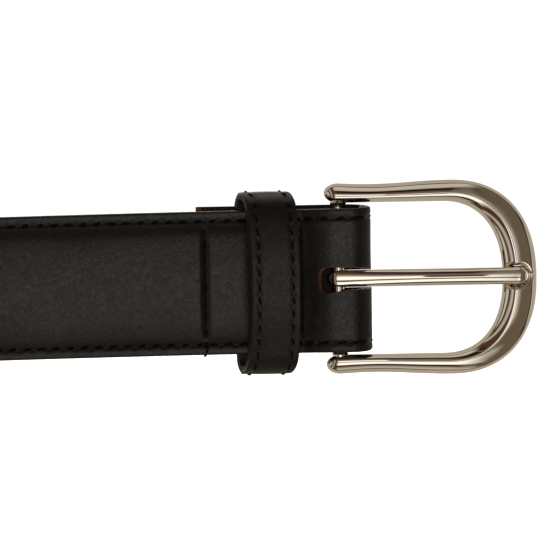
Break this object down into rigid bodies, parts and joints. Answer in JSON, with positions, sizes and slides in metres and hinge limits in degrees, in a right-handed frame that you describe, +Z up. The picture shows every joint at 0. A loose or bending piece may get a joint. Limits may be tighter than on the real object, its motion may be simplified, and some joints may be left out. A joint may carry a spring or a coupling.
{
  "type": "leather belt",
  "caption": "Padded leather dress belt standing on its long edge, straight at the buckle end and coiled behind, with a D-shaped buckle, a swinging prong and a sliding keeper loop.",
  "frame": {"origin": "middle of the belt's bounding box, on the table that it stands on", "axes": "+X along the straight part to the buckle's bow, +Y from the grain side to the coil behind, +Z up across the strap"},
  "size_m": [0.2462, 0.1102, 0.0474],
  "materials": {
    "black_leather": "fine-grained calf, satin",
    "lining_leather": "dark brown lining, matt, brown raw edges",
    "padding": "pressed fibre",
    "thread": "black bonded thread",
    "polished_nickel": "mirror-polished warm nickel",
    "steel_wire": "drawn wire"
  },
  "bodies": {
    "strap": {"strap_outer_leather": "black_leather", "strap_lining": "lining_leather", "strap_padding_core": "padding", "edge_stitching_face_thread": "thread", "edge_stitching_back_thread": "thread", "rear_cross_stitching": "thread", "front_cross_stitching": "thread"},
    "keeper": {"keeper_outer_leather": "black_leather", "keeper_lining": "lining_leather", "keeper_stitching_left": "thread", "keeper_stitching_right": "thread", "keeper_staple": "steel_wire"},
    "buckle": {"buckle_frame": "polished_nickel", "buckle_bar": "polished_nickel"},
    "prong": {"prong": "polished_nickel"}
  },
  "joints": [
    {"name": "keeper_slide", "type": "slide", "parent": "strap", "child": "keeper", "axis": [1, 0, 0], "range_m": [-0.0064, 0.003]},
    {"name": "buckle_hinge", "type": "hinge", "parent": "strap", "child": "buckle", "pos_m": [0.07478, -0.0461, 0.0237], "axis": [0, 0, -1], "range_deg": [-90, 30]},
    {"name": "prong_hinge", "type": "hinge", "parent": "buckle", "child": "prong", "pos_m": [0.07478, -0.0461, 0.0237], "axis": [0, 0, -1], "range_deg": [0, 76]}
  ]
}
